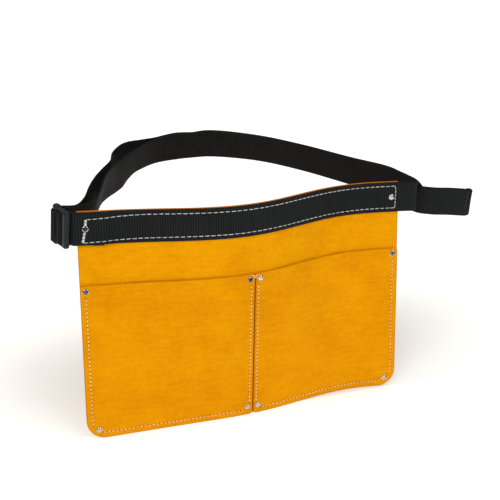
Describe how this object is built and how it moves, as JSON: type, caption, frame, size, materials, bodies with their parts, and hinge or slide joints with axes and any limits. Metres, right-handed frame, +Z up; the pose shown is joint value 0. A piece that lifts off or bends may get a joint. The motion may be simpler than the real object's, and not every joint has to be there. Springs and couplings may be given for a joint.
{
  "type": "child's leather tool belt",
  "caption": "Suede apron with two open-topped pockets, riveted and sewn, on a webbing waist belt with a three-bar slider and a free tail.",
  "frame": {"origin": "middle of the belt's outer box, on the ground it stands on", "axes": "+X along the apron's width towards the free tail, -Y out of the pockets' front, +Z up"},
  "size_m": [0.3444, 0.2084, 0.1905],
  "materials": {
    "panel_suede": "golden-yellow split suede, matt, fine nap",
    "pocket_suede": "golden-yellow split suede, matt, slightly darker",
    "webbing": "black ribbed polypropylene webbing, low sheen",
    "slider_plastic": "dark blue-grey moulded acetal, satin",
    "nickel": "nickel-plated steel, polished",
    "white_thread": "white twisted polyester thread",
    "tan_thread": "pale tan twisted thread",
    "black_thread": "black twisted thread"
  },
  "bodies": {
    "apron": {"apron_back_panel": "panel_suede", "left_pocket_front": "pocket_suede", "right_pocket_front": "pocket_suede", "waistband_webbing": "webbing", "rear_belt_inner_layer": "webbing", "rear_belt_outer_layer": "webbing", "rivet_head_left_pocket_top_outer": "nickel", "rivet_back_left_pocket_top_outer": "nickel", "rivet_head_left_pocket_top_inner": "nickel", "rivet_back_left_pocket_top_inner": "nickel", "rivet_head_left_pocket_bottom_outer": "nickel", "rivet_back_left_pocket_bottom_outer": "nickel", "rivet_head_left_pocket_bottom_inner": "nickel", "rivet_back_left_pocket_bottom_inner": "nickel", "rivet_head_right_pocket_top_inner": "nickel", "rivet_back_right_pocket_top_inner": "nickel", "rivet_head_right_pocket_top_outer": "nickel", "rivet_back_right_pocket_top_outer": "nickel", "rivet_head_right_pocket_bottom_inner": "nickel", "rivet_back_right_pocket_bottom_inner": "nickel", "rivet_head_right_pocket_bottom_outer": "nickel", "rivet_back_right_pocket_bottom_outer": "nickel", "rivet_head_waistband_left": "nickel", "rivet_back_waistband_left": "nickel", "rivet_head_waistband_right": "nickel", "rivet_back_waistband_right": "nickel", "waistband_seam_thread": "white_thread", "waistband_seam_bobbin_thread": "white_thread", "left_pocket_seam_thread": "tan_thread", "left_pocket_seam_bobbin_thread": "tan_thread", "right_pocket_seam_thread": "tan_thread", "right_pocket_seam_bobbin_thread": "tan_thread"},
    "slider": {"slider_buckle": "slider_plastic", "strap_turn": "webbing"},
    "tail": {"strap_tail": "webbing", "tail_hem_thread": "black_thread"}
  },
  "joints": [
    {"name": "slider_swivel", "type": "hinge", "parent": "apron", "child": "slider", "pos_m": [-0.16642, -0.0659, 0.1666], "axis": [0, 0, 1], "range_deg": [-12, 0]},
    {"name": "tail_sway", "type": "hinge", "parent": "apron", "child": "tail", "pos_m": [0.13033, -0.0586, 0.1599], "axis": [0, 0, 1], "range_deg": [-30, 22], "stiffness_Nm_per_rad": 0.002}
  ]
}
